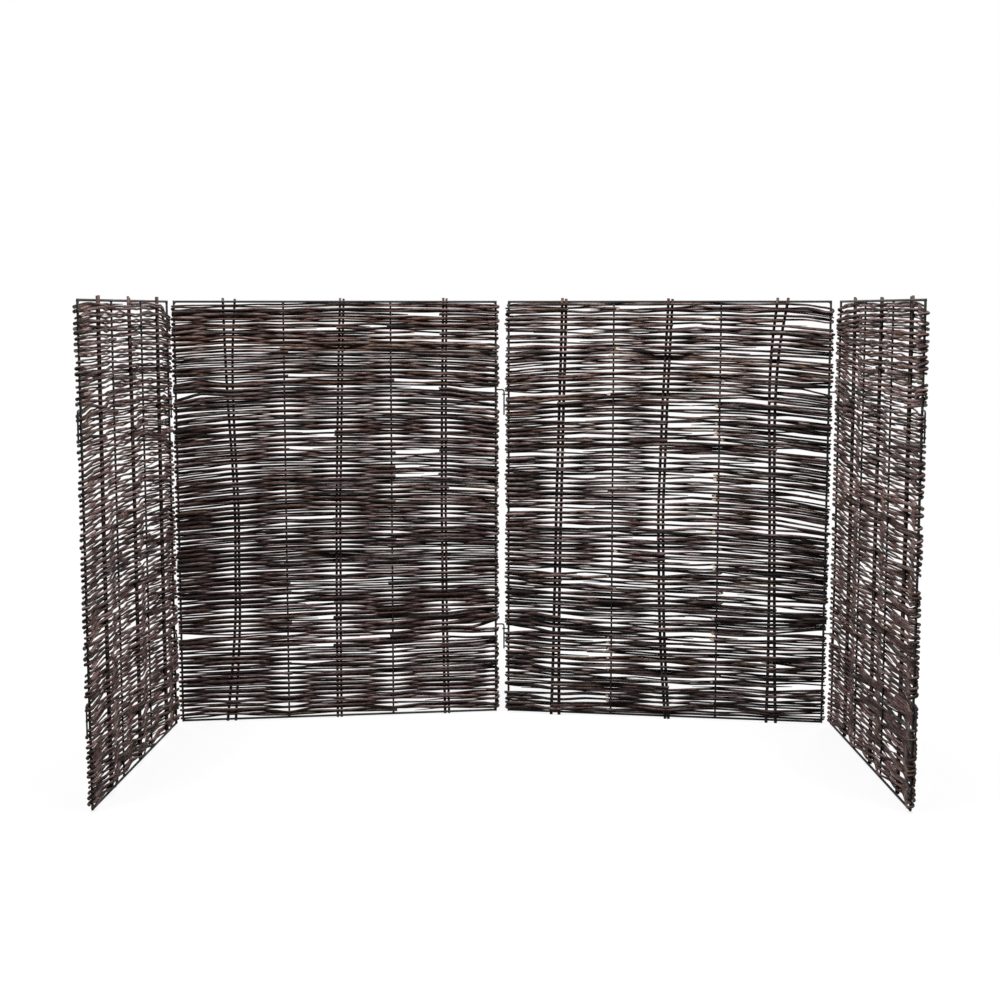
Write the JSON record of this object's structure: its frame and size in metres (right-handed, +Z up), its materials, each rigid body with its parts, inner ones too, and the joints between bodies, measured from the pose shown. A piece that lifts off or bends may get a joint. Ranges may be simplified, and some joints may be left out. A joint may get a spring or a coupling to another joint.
{
  "type": "woven willow hurdle screen",
  "caption": "Folding screen of willow hurdle panels woven on steel rod frames, hung together by hook pins and eyes to stand in a U",
  "frame": {"origin": "middle of the footprint's box, on the ground under the stake feet", "axes": "+Z up, +X to the right and +Y away from someone who looks into the open side of the U"},
  "size_m": [1.865, 0.9652, 1.155],
  "materials": {
    "willow_weave": "bark on, dry",
    "willow_stake": "bark on, dry",
    "frame_steel": "dark, satin",
    "hinge_steel": "dark, satin"
  },
  "bodies": {
    "left_side": {"left_side_left_rod": "frame_steel", "left_side_right_rod": "frame_steel", "left_side_bottom_rail": "frame_steel", "left_side_top_rail": "frame_steel", "left_side_inner_rods": "frame_steel", "left_side_stakes_1": "willow_stake", "left_side_stakes_2": "willow_stake", "left_side_stakes_3": "willow_stake", "left_side_weave": "willow_weave", "left_side_left_hooks": "hinge_steel", "left_side_right_hooks": "hinge_steel"},
    "left_back": {"left_back_left_rod": "frame_steel", "left_back_right_rod": "frame_steel", "left_back_bottom_rail": "frame_steel", "left_back_top_rail": "frame_steel", "left_back_inner_rods": "frame_steel", "left_back_stakes_1": "willow_stake", "left_back_stakes_2": "willow_stake", "left_back_stakes_3": "willow_stake", "left_back_weave": "willow_weave", "left_back_right_hooks": "hinge_steel", "left_back_eyes": "hinge_steel"},
    "right_back": {"right_back_left_rod": "frame_steel", "right_back_right_rod": "frame_steel", "right_back_bottom_rail": "frame_steel", "right_back_top_rail": "frame_steel", "right_back_inner_rods": "frame_steel", "right_back_stakes_1": "willow_stake", "right_back_stakes_2": "willow_stake", "right_back_stakes_3": "willow_stake", "right_back_weave": "willow_weave", "right_back_right_hooks": "hinge_steel", "right_back_eyes": "hinge_steel"},
    "right_side": {"right_side_left_rod": "frame_steel", "right_side_right_rod": "frame_steel", "right_side_bottom_rail": "frame_steel", "right_side_top_rail": "frame_steel", "right_side_inner_rods": "frame_steel", "right_side_stakes_1": "willow_stake", "right_side_stakes_2": "willow_stake", "right_side_stakes_3": "willow_stake", "right_side_weave": "willow_weave", "right_side_right_hooks": "hinge_steel", "right_side_eyes": "hinge_steel"}
  },
  "joints": [
    {"name": "centre_hinge", "type": "hinge", "parent": "left_back", "child": "right_back", "pos_m": [-0.00124, 0.47112, 0.891], "axis": [0, 0, 1], "range_deg": [-52, 86]},
    {"name": "left_hinge", "type": "hinge", "parent": "left_back", "child": "left_side", "pos_m": [-0.88915, 0.33684, 0.891], "axis": [0, 0, 1], "range_deg": [-160, 15]},
    {"name": "right_hinge", "type": "hinge", "parent": "right_back", "child": "right_side", "pos_m": [0.88666, 0.33684, 0.891], "axis": [0, 0, 1], "range_deg": [-15, 160]}
  ]
}
